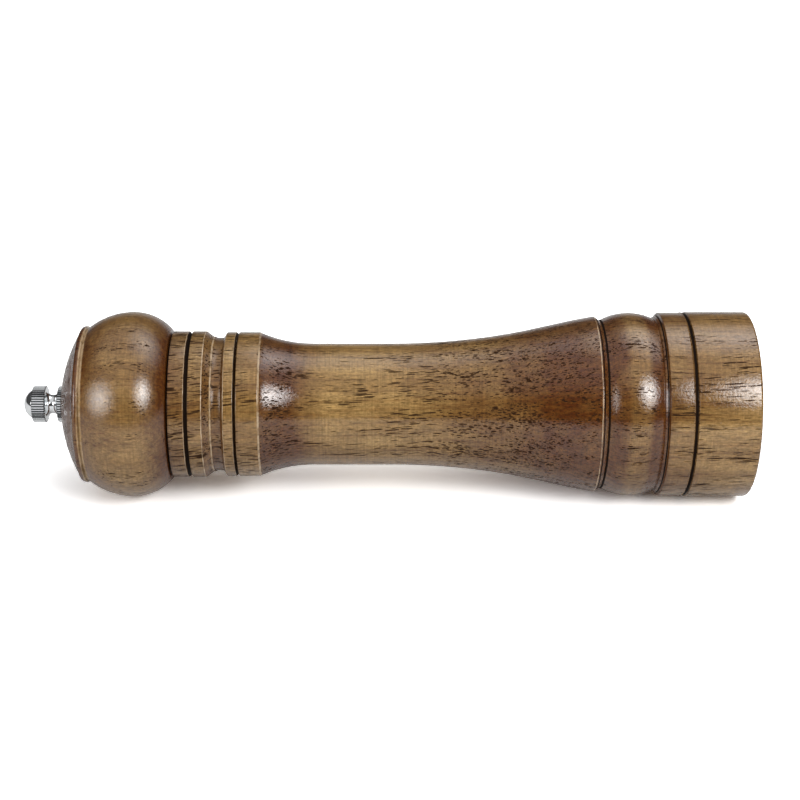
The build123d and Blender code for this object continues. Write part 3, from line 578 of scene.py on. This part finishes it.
# Rubbed edges, partly painted highlights on the cove's fillets and the bands' edges, and at 195.3 partly
# painted light against the shade in the rim's notch
HEAD_WORN_AND_GLINT = [(151.3, 0.16), (154.15, 0.12), (157.9, 0.2), (160.35, 0.14), (165.55, 0.1), (195.3, 0.6)]

# Where each piece was cut from the grain, in millimetres
BODY_SHIFT = (11, 4, 0)
HEAD_SHIFT = (57, 23, 90)

body_wood = stained_wood("body_wood", BODY_SHIFT, BODY_LACQUER_ROUGH, BODY_STAIN, BODY_OPEN, BODY_RUN,
                         BODY_BURNT_AND_SHADE, BODY_WORN_AND_GLINT)
head_wood = stained_wood("head_wood", HEAD_SHIFT, HEAD_LACQUER_ROUGH, HEAD_STAIN, HEAD_OPEN, HEAD_RUN,
                         HEAD_BURNT_AND_SHADE, HEAD_WORN_AND_GLINT)
turned_piece("turned_body", "body", "mill_body", body_wood)
turned_piece("turned_head", "head", "mill_head", head_wood)
finish_cad(bright_chrome(), "finial_nut")
steel = plain_finish("plated_steel")
springy_coil("coil_spring", "spring", steel)
finish_cad(steel, "drive_plate", "drive_plate_screws", "spring_washer", "rotor_washer", "rotor_nut",
           "holder_screws")
finish_cad(bare_aluminium(), "shaft")
finish_cad(plain_finish("white_ceramic"), "rotor", "stator")
finish_cad(plain_finish("black_nylon"), "rotor_hub", "burr_holder", "stator_ring")
finish_cad(plain_finish("white_nylon"), "shaft_sleeve")


# Table, and how white it is to the mill, to the camera and in reflections
TABLE_SIZE = 3.0
TABLE_GAP = 0.1 * MM
TABLE_TO_MILL = 0.65
TABLE_TO_CAMERA = 1.85
TABLE_IN_GLOSS = 0.7

# Room, and how bright it is behind the mill, overhead and elsewhere
ROOM_CENTRE = Vector((0, 0, 0.105))
ROOM_BEHIND = 0.9
ROOM_OVERHEAD = 0.7
ROOM_DIM = 0.06

# Soft lamps: degrees to the right of and above the view, distance, width and height in metres, and brightness
SOFTBOXES = {
    "key_softbox": (31, 13, 0.7, 0.48, 0.46, 17.0),
    "fill_softbox": (-48, 5, 0.8, 0.64, 0.54, 8.5),
    "top_softbox": (80, 68, 0.8, 1.0, 0.8, 2.6),
    "back_softbox": (10, -145, 0.8, 0.8, 0.8, 5.0),
}
RING_SIZES = (1.0, 0.75, 0.5, 0.3, 0.2)
RING_STEP = 2 * MM


def white_table():
    """White where nothing shades it, and clear from behind and to light from behind."""
    material = bpy.data.materials.new("white_table")
    material.use_nodes = True
    tree = material.node_tree
    tree.nodes.clear()
    path = node(tree, "LightPath").outputs
    shade = node(tree, "Mix", {0: path["Is Camera Ray"], 2: TABLE_TO_MILL, 3: TABLE_TO_CAMERA}).outputs[0]
    shade = node(tree, "Mix", {0: path["Is Glossy Ray"], 2: shade, 3: TABLE_IN_GLOSS}).outputs[0]
    matt = node(tree, "BsdfDiffuse", {"Color": grey(tree, shade)}).outputs[0]
    clear = node(tree, "BsdfTransparent").outputs[0]
    behind = node(tree, "NewGeometry").outputs["Backfacing"]
    behind = calc(tree, "MAXIMUM", behind, path["Is Shadow Ray"])
    surface = node(tree, "MixShader", {0: behind, 1: matt, 2: clear}).outputs[0]
    node(tree, "OutputMaterial", {"Surface": surface})
    return material


def add_table():
    mesh = bmesh.new()
    bmesh.ops.create_grid(mesh, x_segments=1, y_segments=1, size=TABLE_SIZE / 2)
    low, high = first_bounds
    radius = (high.x - low.x) / 2
    turn = Matrix((TABLE_ALONG, TABLE_NORMAL.cross(TABLE_ALONG), TABLE_NORMAL)).transposed().to_4x4()
    place = Matrix.Translation(ROOM_CENTRE - TABLE_NORMAL * (radius + TABLE_GAP))
    bmesh.ops.transform(mesh, matrix=place @ turn, verts=mesh.verts[:])
    add_piece("table", mesh, white_table())


def add_world():
    """White room, dim except behind the mill and overhead, and white to the camera."""
    world = bpy.data.worlds.new("studio")
    bpy.context.scene.world = world
    world.use_nodes = True
    tree = world.node_tree
    way = node(tree, "TexCoord").outputs["Generated"]
    toward = measure(tree, "DOT_PRODUCT", way, VIEW_BACK)
    above = measure(tree, "DOT_PRODUCT", way, TABLE_NORMAL)
    level = fade(tree, toward, -0.97, -0.8, ROOM_BEHIND, ROOM_DIM)
    level = calc(tree, "MAXIMUM", level, fade(tree, above, 0.45, 0.95, ROOM_DIM, ROOM_OVERHEAD))
    level = calc(tree, "MAXIMUM", level, node(tree, "LightPath").outputs["Is Camera Ray"])
    tree.links.new(level, tree.nodes["Background"].inputs["Strength"])
    tree.nodes["Background"].inputs["Color"].default_value = (1, 1, 1, 1)


def softbox(name, right, up, distance, width, height, level):
    """Soft lamp at angles to the right of and above the view, in rings that fade towards the edge."""
    right = math.radians(right)
    up = math.radians(up)
    level_way = math.sin(right) * VIEW_RIGHT + math.cos(right) * VIEW_BACK
    way = math.cos(up) * level_way + math.sin(up) * VIEW_UP
    side = (VIEW_RIGHT - way * VIEW_RIGHT.dot(way)).normalized()
    turn = Matrix((side, way.cross(side), way)).transposed().to_4x4()
    for ring, share in enumerate(RING_SIZES):
        lamp = bpy.data.lights.new(f"{name}_{ring}", "AREA")
        lamp.shape = "ELLIPSE"
        lamp.size = width * share
        lamp.size_y = height * share
        lamp.energy = level / len(RING_SIZES) * math.pi * lamp.size * lamp.size_y * math.pi / 4
        made = bpy.data.objects.new(lamp.name, lamp)
        made.matrix_world = Matrix.Translation(ROOM_CENTRE + way * (distance - ring * RING_STEP)) @ turn
        bpy.context.scene.collection.objects.link(made)


def add_camera():
    camera = bpy.data.cameras.new("photo_camera")
    camera.sensor_width = SENSOR
    camera.lens = SENSOR * PIXELS_PER_MM / MM * CAMERA_DISTANCE / IMAGE_SIZE
    camera.shift_x = (IMAGE_SIZE / 2 - CENTRE_COLUMN) / IMAGE_SIZE
    made = bpy.data.objects.new("photo_camera", camera)
    turn = Matrix((VIEW_RIGHT, VIEW_UP, VIEW_BACK)).transposed().to_4x4()
    place = Vector((0, 0, CENTRE_HEIGHT)) + VIEW_BACK * CAMERA_DISTANCE + VIEW_UP * AXIS_DROP
    made.matrix_world = Matrix.Translation(place) @ turn
    bpy.context.scene.collection.objects.link(made)
    bpy.context.scene.camera = made


add_table()
add_world()
for name, settings in SOFTBOXES.items():
    softbox(name, *settings)
add_camera()
bpy.context.scene.view_settings.view_transform = "Standard"
